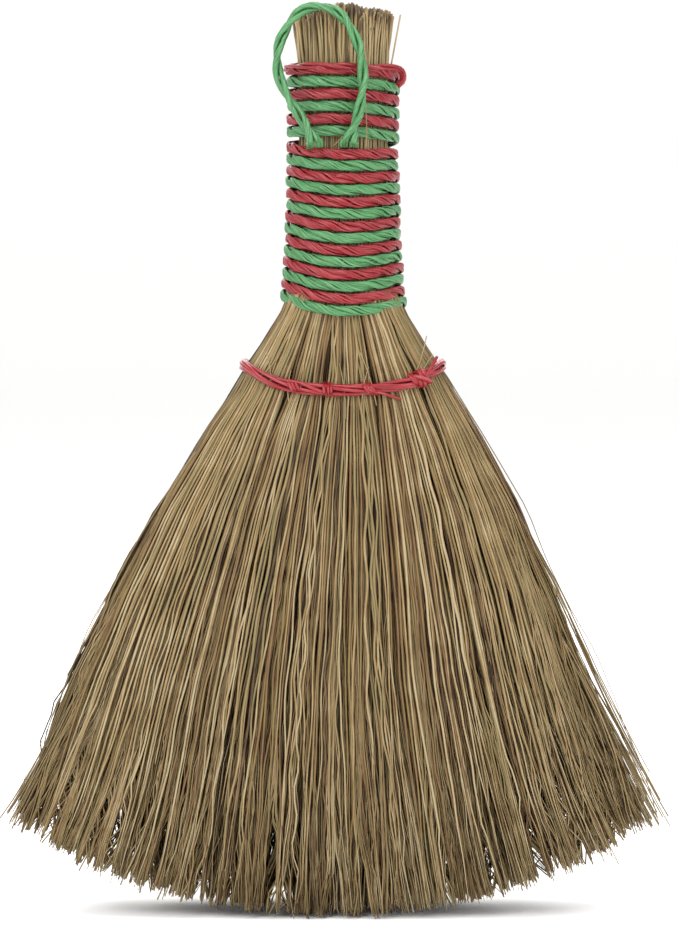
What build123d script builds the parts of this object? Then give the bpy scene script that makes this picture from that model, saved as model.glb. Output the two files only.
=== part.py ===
from build123d import *

import os
from math import acos, cos, degrees, floor, pi, radians, sin, sqrt, tan

# Corn whisk broom, standing on its bristle tips with the handle up. Sizes are in millimetres.
# X runs across the fan, -Y is the front, where the hanging loop lies, and Z runs up the handle.

# The fan: five bunches of broomcorn, pulled in by a sewn band. Below it they swell until the partings
# between them close, and at the tips they are cut round.
neck_height = 229.0
neck_width = 40.8
depth_to_width_share = 0.9
bunch_edge_shares = (-1.0, -0.51, -0.16, 0.28, 0.72, 1.0)
band_drop = 30.0
band_rise = 9.0
band_rise_power_share = 3
band_fan_width = 72.0
band_fan_depth = 31.2
swell_drop = 79.0
swell_fan_width = 140.0
swell_fan_depth = 37.5
tip_fan_width = 255.0
tip_fan_depth = 54.0
fullness_share = 0.5
tip_arc_radius = 222.0
tip_raggedness = 5.0
standing_cut = 0.5

# A bristle is three-sided, and thickens towards its tip like the branching seed head that it stands for
bristle_sides = 3
bristle_pitch = 1.8
bristle_row_pitch = 1.72
neck_bristle_radius = 0.9
band_bristle_radius = 0.95
swell_bristle_radius = 1.15
tip_bristle_radius = 1.55
bristle_root = 0.5
backing_depth = 6.0
parting_gap = 0.4

# The handle: the same bunches bound tight, with the cut ends of the stalks standing out on top
lower_grip_width = 36.6
grip_width = 34.8
stub_foot_width = 36.0
stub_top_width = 39.0
stub_length = 20.0
grip_height_shares = (0.0, 0.28, 0.62, 0.84, 1.0)
grip_widths = (neck_width, lower_grip_width, grip_width, grip_width, stub_foot_width)
stalk_sides = 4
stalk_pitch = 3.1
stalk_row_pitch = 3.1
stalk_radius = 2.1
stalk_top_radius = 1.95
stalk_root = 1.5
stalk_unevenness = 4.0
slice_clearance = 0.1

# The winding: a red and a green cord side by side, ten turns each, parted where the loop comes out
cord_diameter = 4.0
cord_sides = 5
cord_clearance = 0.3
upper_rows = 6
lower_rows = 14
upper_row_gap = 0.65
lower_row_gap = 0.5
loop_row_gap = 4.4
bottom_row_drop = 0.35
front_fall = 2.8
upper_side_lift = -1.0
first_side_lift = 1.6
last_side_lift = 4.3
stub_foot_gap = 0.7

# The hanging loop, a green cord that tips forward about its two roots, and its tails in the bundle
loop_diameter = 3.4
loop_sides = 6
loop_clearance = 1.3
loop_root_rise = 0.25
loop_end_gap = 0.5
tail_diameter = 2.8
tail_depth = 8.0
tail_clearance = 0.1
tail_end_gap = 0.3
loop_shape = (
    (-10.6, 0.0, 0.0),
    (-14.9, 0.0, 8.1),
    (-20.4, 0.0, 16.3),
    (-24.5, 0.1, 25.0),
    (-24.6, 0.4, 34.7),
    (-20.6, 0.9, 43.5),
    (-16.0, 1.3, 48.8),
    (-9.2, 1.5, 50.8),
    (-2.4, 1.3, 48.9),
    (2.3, 0.9, 43.7),
    (6.2, 0.4, 35.4),
    (7.6, 0.1, 26.2),
    (7.2, 0.0, 16.8),
    (5.2, 0.0, 8.1),
    (2.2, 0.0, 0.0),
)

# The sewn band: a red twine round the fan, a stitch through each parting, and the knot that ties it
band_diameter = 3.8
band_sides = 5
band_clearance = 0.3
band_route_degrees = (
    -40, -51, -63, -76, -90, -105, -120, -134, -147, -159, -171, -189, -201, -213,
    -226, -240, -255, -270, -285, -300, -314, -327, -339, -351, -369, -379, -387,
)
stitch_diameter = 1.8
stitch_sides = 4
stitch_clearance = 0.5
stitch_end_gap = 0.5
knot_diameter = 5.6
knot_sides = 6
knot_clearance = 0.8
knot_shares = (0.0, 0.3, 0.7, 1.0)
loose_end_diameter = 1.8
loose_end_shares = (0.40, 0.47, 0.54, 0.60)
loose_end_falls = (0.0, 0.1, 0.6, 1.5)
loose_end_gap = 0.1

# Each row of fibres is shifted by the golden section of a step, so that no two rows line up
golden_share = 0.618034
flat_to_front = 270
run_fillet_share = 0.45
gap_samples = 12

neck_half_width = neck_width / 2
neck_half_depth = neck_half_width * depth_to_width_share
cord_radius = cord_diameter / 2
all_rows = upper_rows + lower_rows
upper_row_step = cord_diameter + upper_row_gap
lower_row_step = cord_diameter + lower_row_gap
loop_row_step = cord_diameter + loop_row_gap
bottom_row_height = neck_height - bottom_row_drop
band_height = neck_height - band_drop
swell_height = neck_height - swell_drop
bristle_margin = neck_bristle_radius + slice_clearance
band_bunch_gap = 2 * (band_bristle_radius + stitch_clearance) + stitch_diameter
swell_bunch_gap = 2 * swell_bristle_radius + parting_gap
tip_bunch_gap = 2 * tip_bristle_radius + parting_gap
band_offset = band_bristle_radius + band_clearance + band_diameter / 2
band_half_width = band_fan_width / 2 + band_offset
band_half_depth = band_fan_depth / 2 + band_offset


def row_height(row):
    """Height of a row of the winding where it crosses the front, counted from the top row, 0."""
    if row >= upper_rows:
        return bottom_row_height + (all_rows - 1 - row) * lower_row_step
    first_lower = bottom_row_height + (lower_rows - 1) * lower_row_step
    return first_lower + loop_row_step + (upper_rows - 1 - row) * upper_row_step


stub_foot_height = row_height(0) + cord_radius + stub_foot_gap
stub_top_height = stub_foot_height + stub_length
grip_heights = [neck_height + share * (stub_foot_height - neck_height) for share in grip_height_shares]
loop_root_height = (row_height(upper_rows - 1) + row_height(upper_rows)) / 2 + loop_root_rise


def bound_half_width(height):
    """Half the width of the bound bundle, read along the straight lines between its named widths."""
    place = min(max(height, grip_heights[0]), grip_heights[-1])
    for low, high, low_width, high_width in zip(
        grip_heights, grip_heights[1:], grip_widths, grip_widths[1:]
    ):
        if place <= high:
            return (low_width + (place - low) / (high - low) * (high_width - low_width)) / 2
    return grip_widths[-1] / 2


def band_place_height(share):
    """Height of the sewn band at a share of the way out from the middle of the fan to its edge."""
    return band_height + band_rise * abs(share) ** band_rise_power_share


def tip_height(x):
    """Height of the round cut that the tips are trimmed to."""
    return tip_arc_radius - sqrt(tip_arc_radius**2 - x**2) - standing_cut


def lattice(left, right, half_width, half_depth, pitch, row_pitch):
    """Places in rows, between two cut planes, inside an oval. Each row is shifted by the golden section."""
    places = []
    rows = 2 * floor(half_depth / row_pitch) + 1
    for row in range(rows):
        y = (row - (rows - 1) / 2) * row_pitch
        chord = half_width * sqrt(1 - (y / half_depth) ** 2)
        low, high = max(left, -chord), min(right, chord)
        shift = row * golden_share % 1
        count = floor((high - low) / pitch - shift) + 1
        places += [(low + (i + shift) * pitch, y) for i in range(count)]
    return places


def slice_sides(edges):
    """The x of the two sides of a bunch where it is bound: flat cuts inside, the oval itself outside."""
    left = edges[0] * (neck_width if edges[0] == bunch_edge_shares[0] else grip_width) / 2
    right = edges[1] * (neck_width if edges[1] == bunch_edge_shares[-1] else grip_width) / 2
    return left, right


def fan_share(x, edges):
    """How far out in the fan, from -1 to 1, a fibre lies that leaves the neck at x."""
    left, right = slice_sides(edges)
    place = (x - left - bristle_margin) / (right - left - 2 * bristle_margin)
    return edges[0] + place * (edges[1] - edges[0])


def fan_place(x, y, edges, width, depth, gap):
    """Where a fibre at x, y in the neck lies in a wider section of the fan, with a gap between bunches."""
    share = fan_share(x, edges)
    middle = (edges[0] + edges[1]) / 2 * width / 2
    span = (edges[1] - edges[0]) * width / 2
    out = middle + (share * width / 2 - middle) * (1 - gap / span)
    chord = neck_half_depth * sqrt(1 - (x / neck_half_width) ** 2)
    return out, y / chord * depth / 2 * (1 - share**2) ** (fullness_share / 2)


def fibre(stations, sides):
    """One fibre, flat-sided, through its x, y, z and radius stations."""
    with BuildPart() as strand:
        for x, y, z, radius in stations:
            with BuildSketch(Plane.XY.offset(z)):
                with Locations((x, y)):
                    RegularPolygon(radius, sides, rotation=flat_to_front - 180 / sides)
        loft(ruled=True)
    return strand.part


def bound_slice(low, high, edges):
    """The part of the bound bundle between two heights that belongs to one bunch."""
    heights = [low] + [height for height in grip_heights if low < height < high] + [high]
    with BuildPart() as bundle:
        for height in heights:
            half_width = bound_half_width(height)
            with BuildSketch(Plane.XY.offset(height)):
                Ellipse(half_width, half_width * depth_to_width_share)
        loft(ruled=True)
        if edges[0] > bunch_edge_shares[0]:
            split(bisect_by=Plane.YZ.offset(slice_sides(edges)[0]), keep=Keep.TOP)
        if edges[1] < bunch_edge_shares[-1]:
            split(bisect_by=Plane.YZ.offset(slice_sides(edges)[1]), keep=Keep.BOTTOM)
    return bundle.part


def bristles(edges):
    """The fibres of one bunch, from inside the neck through the band and the swell to the round-cut tips."""
    left, right = slice_sides(edges)
    places = lattice(
        left + bristle_margin,
        right - bristle_margin,
        neck_half_width - bristle_margin,
        neck_half_depth - bristle_margin,
        bristle_pitch,
        bristle_row_pitch,
    )
    fibres = []
    for i, (x, y) in enumerate(places):
        band_x, band_y = fan_place(x, y, edges, band_fan_width, band_fan_depth, band_bunch_gap)
        swell_x, swell_y = fan_place(x, y, edges, swell_fan_width, swell_fan_depth, swell_bunch_gap)
        tip_x, tip_y = fan_place(x, y, edges, tip_fan_width, tip_fan_depth, tip_bunch_gap)
        ragged = tip_raggedness * max(2 * (i * golden_share % 1) - 1, 0)
        stations = (
            (x, y, neck_height + bristle_root, neck_bristle_radius),
            (band_x, band_y, band_place_height(fan_share(x, edges)), band_bristle_radius),
            (swell_x, swell_y, swell_height, swell_bristle_radius),
            (tip_x, tip_y, max(tip_height(tip_x) + ragged, 0), tip_bristle_radius),
        )
        fibres.append(fibre(stations, bristle_sides))
    return fibres


def stalk_ends(edges):
    """The cut ends of one bunch's stalks, flaring a little and uneven in height."""
    flare = stub_top_width / stub_foot_width
    margin = stalk_radius * cos(pi / stalk_sides) + slice_clearance
    left, right = slice_sides(edges)
    places = lattice(
        left + margin,
        right - margin,
        stub_foot_width / 2 - margin,
        stub_foot_width / 2 * depth_to_width_share - margin,
        stalk_pitch,
        stalk_row_pitch,
    )
    ends = []
    for i, (x, y) in enumerate(places):
        top = stub_top_height - stalk_unevenness * (i * golden_share % 1)
        stations = (
            (x, y, stub_foot_height - stalk_root, stalk_radius),
            (x * flare, y * flare, top, stalk_top_radius),
        )
        ends.append(fibre(stations, stalk_sides))
    return ends


def side_lift(row):
    """How much higher a row lies at the two sides than at the front, pushed up by the flaring fan."""
    if row < upper_rows:
        return upper_side_lift
    share = (row - upper_rows) / (lower_rows - 1)
    return first_side_lift + share * (last_side_lift - first_side_lift)


def winding_quarters(first_row):
    """Heights of one cord of the winding at the back, left, front and right of each of its turns."""
    heights = [row_height(first_row) + upper_row_step]
    for row in range(first_row, all_rows, 2):
        side = row_height(row) + side_lift(row)
        heights += [side + front_fall / 2, row_height(row), side - front_fall / 2]
        if row + 2 < all_rows:
            heights.append((row_height(row) + row_height(row + 2)) / 2)
    heights.append(row_height(row) - lower_row_step)
    return heights


def winding_stations(first_row):
    """Points and directions of one cord of the winding, a quarter of a turn apart."""
    heights = winding_quarters(first_row)
    stations = []
    for i, height in enumerate(heights):
        turned = pi / 2 * (i + 1)
        half_width = bound_half_width(height) + cord_clearance + cord_radius
        half_depth = bound_half_width(height) * depth_to_width_share + cord_clearance + cord_radius
        before, after = heights[max(i - 1, 0)], heights[min(i + 1, len(heights) - 1)]
        climb = (after - before) / pi if 0 < i < len(heights) - 1 else 0
        point = Vector(half_width * cos(turned), half_depth * sin(turned), height)
        along = Vector(-half_width * sin(turned), half_depth * cos(turned), climb).normalized()
        stations.append((point, along))
    return stations


def biarc_joint(start, start_along, end, end_along):
    """The point and direction where two arcs meet that lead from one point and direction to another."""
    chord = end - start
    both = start_along + end_along
    a = 2 * (start_along.dot(end_along) - 1)
    b = -2 * chord.dot(both)
    reach = (-b - sqrt(b**2 - 4 * a * chord.dot(chord))) / (2 * a)
    first_corner = start + start_along * reach
    second_corner = end - end_along * reach
    return (first_corner + second_corner) / 2, (second_corner - first_corner).normalized()


def winding(first_row):
    """One cord of the winding: a straight end, two arcs to each quarter turn, and a straight end."""
    stations = winding_stations(first_row)
    with BuildPart() as cord:
        with BuildLine() as path:
            first, first_along = stations[0]
            last, last_along = stations[-1]
            Line(first - first_along * cord_diameter, first)
            for (start, start_along), (end, end_along) in zip(stations, stations[1:]):
                joint, joint_along = biarc_joint(start, start_along, end, end_along)
                TangentArc(start, joint, tangent=start_along)
                TangentArc(joint, end, tangent=joint_along)
            Line(last, last + last_along * cord_diameter)
        with BuildSketch(Plane(origin=path.line @ 0, z_dir=path.line % 0)):
            RegularPolygon(cord_radius, cord_sides)
        sweep(clean=False)
    return cord.part, path.wire()


def least_gap(line, turns, diameter):
    """The least clear space between one turn of a winding and the rest of it, measured on points."""
    count = gap_samples * 4 * turns
    points = [line @ (i / count) for i in range(count + 1)]
    apart = gap_samples * 2
    return min(
        (points[j] - points[i]).length
        for i in range(count + 1)
        for j in range(i + apart, min(i + apart * 4, count + 1))
    ) - diameter


def fillet_radii(route):
    """The largest arc that each corner of a route allows: 0.45 of its shorter run over the half turn."""
    radii = []
    points = [Vector(*point) for point in route]
    for before, corner, after in zip(points, points[1:], points[2:]):
        turn = acos(min((corner - before).normalized().dot((after - corner).normalized()), 1))
        shorter = min((corner - before).length, (after - corner).length)
        radii.append(run_fillet_share * shorter / tan(turn / 2))
    return radii


def tube(route, diameter, sides, name):
    """A cord along a route of straight runs joined by arcs, with its radii and volume checked in print."""
    radii = fillet_radii(route)
    with BuildPart() as cord:
        with BuildLine() as path:
            FilletPolyline(*route, radius=radii)
        with BuildSketch(Plane(origin=path.line @ 0, z_dir=path.line % 0)) as section:
            RegularPolygon(diameter / 2, sides)
        sweep()
    length = path.wire().length
    share = cord.part.volume / (section.sketch.area * length)
    print(name, "length", round(length, 1), "least radius", round(min(radii), 1))
    print(name, "radii", [round(radius, 1) for radius in radii])
    print(name, "volume over section times length", round(share, 4))
    return cord.part


def band_centre(turned):
    """A point of the band's centreline, at an angle in degrees round the fan."""
    across, through = cos(radians(turned)), sin(radians(turned))
    y = band_half_depth * abs(through) ** fullness_share
    return band_half_width * across, y if through > 0 else -y, band_place_height(across)


def stitch(share):
    """A loop of twine through the parting between two bunches, round the front and back of the band."""
    middle = share * band_fan_width / 2
    x, y, z = band_centre(degrees(-acos(middle / band_half_width)))
    slope_above = share * (band_fan_width - grip_width) / 2 / (neck_height - z)
    slope_below = share * (swell_fan_width - band_fan_width) / 2 / (z - swell_height)
    reach = abs(y)
    bend = band_diameter / 2 + stitch_clearance + stitch_diameter / 2
    ring = Plane(origin=(x, 0, z), x_dir=(0, 1, 0), z_dir=(1, 0, (slope_above + slope_below) / 2))
    with BuildPart() as twine:
        with BuildLine(ring) as path:
            Line((0, -bend), (-reach, -bend))
            ThreePointArc((-reach, -bend), (-reach - bend, 0), (-reach, bend))
            Line((-reach, bend), (reach, bend))
            ThreePointArc((reach, bend), (reach + bend, 0), (reach, -bend))
            Line((reach, -bend), (stitch_end_gap, -bend))
        with BuildSketch(Plane(origin=path.line @ 0, z_dir=path.line % 0)):
            RegularPolygon(stitch_diameter / 2, stitch_sides, rotation=45)
        sweep()
    return twine.part


def finish(part, name):
    """Names a finished piece and writes its file."""
    part.label = name
    export_step(part, f"parts/{name}.step")


os.makedirs("parts", exist_ok=True)
bunch_edges = list(zip(bunch_edge_shares, bunch_edge_shares[1:]))
bundle_front = -bound_half_width(loop_root_height) * depth_to_width_share
loop_hinge_y = bundle_front - cord_clearance - cord_diameter - loop_clearance - loop_diameter / 2
loop_route = [(x, loop_hinge_y + back, loop_root_height + up) for x, back, up in loop_shape]
loop_roots = (loop_route[0][0], loop_route[-1][0])

strand_count = 0
for number, edges in enumerate(bunch_edges, 1):
    backing = bound_slice(neck_height, neck_height + backing_depth, edges)
    fibres = bristles(edges)
    with BuildPart() as brush:
        add(backing)
        add(fibres)
    finish(brush.part, f"bunch_{number}_brush")

    bundle = bound_slice(neck_height + backing_depth, stub_foot_height, edges)
    ends = stalk_ends(edges)
    with BuildPart() as stalks:
        add(bundle)
        add(ends)
        for x in loop_roots:
            if slice_sides(edges)[0] < x < slice_sides(edges)[1]:
                with Locations(Plane(origin=(x, loop_hinge_y, loop_root_height), z_dir=(0, -1, 0))):
                    Hole(tail_diameter / 2 + tail_clearance, bundle_front + tail_depth - loop_hinge_y)
    finish(stalks.part, f"bunch_{number}_stalks")
    strand_count += len(fibres) + len(ends)
    print("bunch", number, "bristles", len(fibres), "stalk ends", len(ends))
print("strands in all", strand_count)

for first_row, colour in enumerate(("red", "green")):
    cord, line = winding(first_row)
    finish(cord, f"{colour}_binding")
    turns = (all_rows - first_row + 1) // 2
    print(colour, "binding least gap to itself", round(least_gap(line, turns, cord_diameter), 2))

loop_first = Vector(*loop_route[0])
loop_last = Vector(*loop_route[-1])
loop_start = loop_first + (Vector(*loop_route[1]) - loop_first).normalized() * loop_end_gap
loop_end = loop_last + (Vector(*loop_route[-2]) - loop_last).normalized() * loop_end_gap
loop_points = [tuple(loop_start), *loop_route[1:-1], tuple(loop_end)]
finish(tube(loop_points, loop_diameter, loop_sides, "hanging loop"), "hanging_loop")

tail_front = loop_hinge_y + sqrt(loop_end_gap**2 + (loop_diameter / 2) ** 2) + tail_end_gap
tail_length = bundle_front + tail_depth - tail_front
for side, x in zip(("left", "right"), loop_roots):
    with BuildPart() as tail:
        with BuildSketch(Plane(origin=(x, tail_front, loop_root_height), z_dir=(0, 1, 0))):
            RegularPolygon(tail_diameter / 2, loop_sides)
        extrude(amount=tail_length)
    finish(tail.part, f"loop_tail_{side}")

band_points = [band_centre(turned) for turned in band_route_degrees]
finish(tube(band_points, band_diameter, band_sides, "sewn band"), "sewn_band")
for number, share in enumerate(bunch_edge_shares[1:-1], 1):
    finish(stitch(share), f"stitch_{number}")

knot_start, knot_end = Vector(*band_points[0]), Vector(*band_points[-1])
knot_along = (knot_end - knot_start).normalized()
knot_span = (knot_end - knot_start).length - 2 * knot_clearance
knot_proud = Vector(0, (band_diameter - knot_diameter) / 2, 0)
knot_ends = (band_diameter, knot_diameter, knot_diameter, band_diameter)
with BuildPart() as knot:
    for share, diameter in zip(knot_shares, knot_ends):
        place = knot_start + knot_along * (knot_clearance + share * knot_span)
        if diameter == knot_diameter:
            place += knot_proud
        with BuildSketch(Plane(origin=place, z_dir=knot_along)):
            RegularPolygon(diameter / 2, knot_sides)
    loft(ruled=True)
finish(knot.part, "band_knot")

loose_points = []
loose_drop = (band_diameter + loose_end_diameter) / 2 + loose_end_gap
for share, fall in zip(loose_end_shares, loose_end_falls):
    depth = band_fan_depth / 2 * (1 - share**2) ** (fullness_share / 2)
    front = -depth - band_bristle_radius - band_clearance - loose_end_diameter / 2
    place = band_place_height(share) - loose_drop - fall
    loose_points.append((share * band_fan_width / 2, front, place))
finish(tube(loose_points, loose_end_diameter, stitch_sides, "loose end"), "band_loose_end")
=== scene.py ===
"""Dresses the solid frame of a corn whisk broom: stalks, fibres, raffia cords and a studio."""

from math import cos, pi, radians, sin

import bpy
import numpy as np
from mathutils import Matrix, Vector


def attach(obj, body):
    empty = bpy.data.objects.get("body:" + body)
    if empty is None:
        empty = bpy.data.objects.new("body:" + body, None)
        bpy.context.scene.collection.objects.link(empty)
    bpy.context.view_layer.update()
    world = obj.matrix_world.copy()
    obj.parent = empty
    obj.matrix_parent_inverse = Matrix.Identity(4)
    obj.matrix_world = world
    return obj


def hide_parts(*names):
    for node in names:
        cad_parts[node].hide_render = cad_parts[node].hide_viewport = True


bl_info = {
    "name": "Corn Whisk Broom",
    "version": (1, 0, 0),
    "blender": (4, 5, 0),
    "location": "3D View > Sidebar > Whisk Broom",
    "description": "Dresses a corn whisk broom with stalks, fibres and raffia cords, and lights it",
    "category": "Object",
}

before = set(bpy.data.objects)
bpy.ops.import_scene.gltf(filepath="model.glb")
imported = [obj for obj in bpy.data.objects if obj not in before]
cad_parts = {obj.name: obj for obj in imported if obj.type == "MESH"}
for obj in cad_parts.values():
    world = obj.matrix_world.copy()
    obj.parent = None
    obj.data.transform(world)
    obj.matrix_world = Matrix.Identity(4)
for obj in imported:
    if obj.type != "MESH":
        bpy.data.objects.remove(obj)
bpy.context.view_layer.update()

MM = 0.001
BROOM, LOOP = "broom", "loop"

# Edges of the five bunches, from the fan's left side at -1 to its right side at 1
BUNCH_EDGES = (-1.0, -0.51, -0.16, 0.28, 0.72, 1.0)
BUNCHES = tuple(zip(BUNCH_EDGES, BUNCH_EDGES[1:]))

# Lengths from here on are in millimetres, in the solid model's frame: X right, -Y front, Z up the handle
NECK_HEIGHT = 229.0
DEPTH_TO_WIDTH = 0.9
GRIP_HEIGHTS = (NECK_HEIGHT, 254.9, 286.35, 306.7, 321.5, 341.5)
GRIP_HALF_WIDTHS = (20.4, 18.3, 17.4, 17.4, 18.0, 19.5)

# Half the width and depth of the fan at heights from its tips up to its top, which is inside the neck
FAN_TOP = 236.0
FAN_HEIGHTS = (0.0, 40.6, 63.0, 93.0, 123.0, 153.4, 183.5, 198.5, 206.0, 213.6, 221.0, 225.0, 229.0, FAN_TOP)
FAN_HALF_WIDTHS = (129.0, 111.0, 102.4, 91.4, 80.2, 66.8, 50.5, 41.2, 37.0, 31.8, 27.4, 25.0, 22.4, 20.0)
FAN_HALF_DEPTHS = (26.0, 23.9, 22.8, 21.3, 19.8, 18.5, 16.6, 15.8, 15.8, 16.2, 17.0, 17.5, 17.9, 17.5)

# How far the fan leans left up to LEAN_HEIGHT. From there the lean fades out up to the sewn band
FAN_LEAN, LEAN_HEIGHT = 5.5, 90.0

# The tips are cut round, on an arc about an x and a z. Below TUFT_HEIGHT they are an open tuft
TIP_ARC_RADIUS = 221.0
TIP_ARC_CENTRE = (1.5, 221.6)
TUFT_HEIGHT = 40.0

# How wide the partings between bunches are at heights up the fan. They reach in from its faces to
# PARTING_DEPTH of its half depth, and PARTING_STEMS of each bunch stand behind them
PARTING_HEIGHTS = (0.0, 150.0, 175.0, 190.0, 199.0, 207.0, 222.0, FAN_TOP)
PARTING_WIDTHS = (0.0, 0.0, 0.6, 2.3, 3.4, 2.5, 1.0, 0.0)
PARTING_DEPTH = 0.7
PARTING_STEMS = 20

# Thin gaps between locks of the tuft, with the least and the most of their widths and of their rises
GAPS = 22
GAP_WIDTHS, GAP_RISES = (1.2, 3.4), (20.0, 50.0)

# Strands behind the outer stems lie deeper by TUCK, and those that cross in front stand out by STAND_OUT
TUCK, STAND_OUT = 1.2, 0.6

# Strands further out than EDGE_SHARE of the fan's half width are at its edges, and fine fibres further out
# than FACE_SHARE of its half depth are on its faces
EDGE_SHARE, FACE_SHARE = 0.93, 0.45

# Slow bends of stems: waves from tip to neck, and how far each wave moves a stem
SWAY_WAVES = (0.9, 2.1, 4.3)
SWAY_SIZES = (2.4, 1.0, 0.45)

# Fine fibres leave their stems down to BRANCHING below the fan's top. Some stray from their stem, some end
# short and some cross over the outer stems
BRANCHING = 150
STRAY_SHARE, SHORT_SHARE, CROSSING_SHARE = 0.1, 0.14, 0.1

# Points along a strand
STEM_POINTS, OUTER_STEM_POINTS, FIBRE_POINTS, INNER_FIBRE_POINTS = 22, 44, 26, 9
LOCK_POINTS, CROSSING_POINTS = 24, 15

# Seeds of the random draws. A bunch adds its number to the first two, and a wound cord its first row
STEM_SEED, OUTER_STEM_SEED, WINDING_SEED = 100, 200, 40
GAP_SEED, WISP_SEED, STALK_SEED = 21, 7, 11
DOUBLED_END_SEED, LOOP_SEED, BAND_SEED = 44, 60, 80

# Locks outside the fan: side, how far out their tips reach, height where they part from it, and strands
OUTER_LOCKS = (
    (-1, 2.5, 150, 30),
    (-1, 5.5, 165, 22),
    (-1, 8.0, 175, 14),
    (-1, 10.0, 130, 4),
    (1, 3.5, 120, 24),
    (1, 9.0, 185, 34),
    (1, 12.0, 160, 14),
    (1, 14.0, 190, 5),
)

# Pale fibres that cross the sewn band: x and z of both ends, and how far they bow
BAND_CROSSINGS = (
    (-32.0, 203.0, -24.5, 211.0, 0.5),
    (-20.0, 192.0, -19.6, 206.0, -0.9),
    (-18.0, 194.5, -14.8, 208.0, 0.8),
    (7.0, 190.0, 9.6, 207.5, -0.8),
    (12.6, 193.0, 6.4, 213.0, 0.7),
    (29.0, 203.0, 34.0, 212.0, -0.6),
    (24.0, 198.0, 31.5, 219.0, 0.9),
    (-27.0, 199.0, -28.6, 212.5, 0.5),
    (1.0, 188.0, -1.4, 209.0, 0.7),
)

# The two wound cords: heights of their rows at the front, how they tilt, how far off the bundle they lie,
# and points along a quarter turn
BOTTOM_ROW_HEIGHT = 228.65
UPPER_ROWS, LOWER_ROWS = 6, 14
UPPER_STEP, LOWER_STEP, LOOP_ROW_STEP = 4.65, 4.5, 8.4
FRONT_FALL = 2.8
UPPER_SIDE_LIFT, FIRST_SIDE_LIFT, LAST_SIDE_LIFT = -1.0, 1.6, 4.3
CORD_CLEARANCE, CORD_RADIUS = 0.3, 2.0
PER_QUARTER = 36

# A laid cord: its plies, the length of its steps and how flat a strand is. How far a ply's middle is from
# the line and how thick a strand is are shares of half the cord's width
PLIES, CORD_STEP, STRAND_FLATNESS = 2, 1.2, 0.72
PLY_OFFSET, STRAND_RADIUS = 0.41, 0.21

# The hanging loop's route, as in the solid model
LOOP_ROUTE = (
    (-10.6, -23.0, 291.6),
    (-14.9, -23.0, 299.7),
    (-20.4, -23.0, 307.9),
    (-24.5, -22.9, 316.6),
    (-24.6, -22.6, 326.3),
    (-20.6, -22.1, 335.1),
    (-16.0, -21.7, 340.4),
    (-9.2, -21.5, 342.4),
    (-2.4, -21.7, 340.5),
    (2.3, -22.1, 335.3),
    (6.2, -22.6, 327.0),
    (7.6, -22.9, 317.8),
    (7.2, -23.0, 308.4),
    (5.2, -23.0, 299.7),
    (2.2, -23.0, 291.6),
)

# The loop's roots: depth and height of points over the gap between two rows, then in behind the lower one
ROOT_ROUTE = ((21.6, 291.2), (19.4, 290.1), (15.0, 289.3))

# The sewn band: its oval, its height at the front and rise at the sides, its strands and their lay, and
# how far they swing out and up
BAND_HALF_WIDTH, BAND_HALF_DEPTH = 37.6, 18.4
BAND_HEIGHT, BAND_RISE = 199.0, 9.0
BAND_STRANDS, BAND_LAY = 6, 70.0
BAND_HALF_THICKNESS, BAND_HALF_SPREAD = 1.6, 1.05

# Each stitch's x and how far it leans, how many strands it has and how far apart, how far it stands out
# from the band's oval, and half its height
STITCHES = ((-18.4, 4.6), (-5.8, 0.6), (10.1, 4.2), (27.6, 2.6))
STITCH_STRANDS, STITCH_SPACING = 3, 1.25
STITCH_REACH, STITCH_HALF_HEIGHT = 2.3, 2.7

# The knot's x, and its coil's turns, length and radius
KNOT_PLACE = 29.2
KNOT_TURNS, KNOT_LENGTH, KNOT_RADIUS = 2.6, 4.0, 2.5
KNOT_POINTS = 90

# The twine's loose ends start at this x, and each has its own drop, reach in x and lift off the fan
LOOSE_START = 12.2
LOOSE_ENDS = ((4.2, 21.8, 0.0), (3.1, 19.2, 0.25))

# Cut strands that splay out of the knot: the two points that they share, and their tips
SPLAY_ROOT = ((27.5, -17.6, 202.6), (31.5, -16.4, 204.8))
SPLAY_TIPS = ((35.4, -12.8, 211.2), (36.6, -12.0, 208.4), (36.2, -11.8, 205.8))


def linear(code):
    """Turns an sRGB hex colour into the linear colour that the shaders take."""
    parts = [int(code[i : i + 2], 16) / 255 for i in (0, 2, 4)]
    return tuple(c / 12.92 if c <= 0.04045 else ((c + 0.055) / 1.055) ** 2.4 for c in parts)


def colour(name, description, code):
    """A colour that the user can change."""
    return bpy.props.FloatVectorProperty(
        name=name, description=description, subtype="COLOR", min=0, max=1, default=linear(code)
    )


def number(name, description, default, least):
    """A number of strands that the user can change."""
    return bpy.props.IntProperty(name=name, description=description, default=default, min=least)


def length(name, description, default):
    """A length that the user can change."""
    return bpy.props.FloatProperty(name=name, description=description, unit="LENGTH", default=default)


class BroomSizes(bpy.types.PropertyGroup):
    stems: number("Stems", "Broomcorn stems that fan out of the neck", 1400, 200)
    outer_stems: number("Outer stems", "Stems side by side on each face of the fan", 134, 10)
    fibres_per_stem: number("Fibres per stem", "Fine fibres that branch off each stem", 7, 1)
    stem_width: length("Stem width", "Thickness of a stem at the neck", 0.00095)
    fibre_width: length("Fibre width", "Thickness of a fibre where it leaves its stem", 0.00088)
    stalk_width: length("Stalk width", "Thickness of a bound stalk", 0.00105)
    cord_width: length("Cord width", "Thickness of the two wound cords", 0.004)
    cord_lay: length("Cord lay", "Length in which a cord's plies go round once", 0.026)
    loop_width: length("Loop width", "Thickness of the hanging loop's cord", 0.0036)
    twine_width: length("Twine width", "Thickness of one strand of the sewn band", 0.0015)


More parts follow.
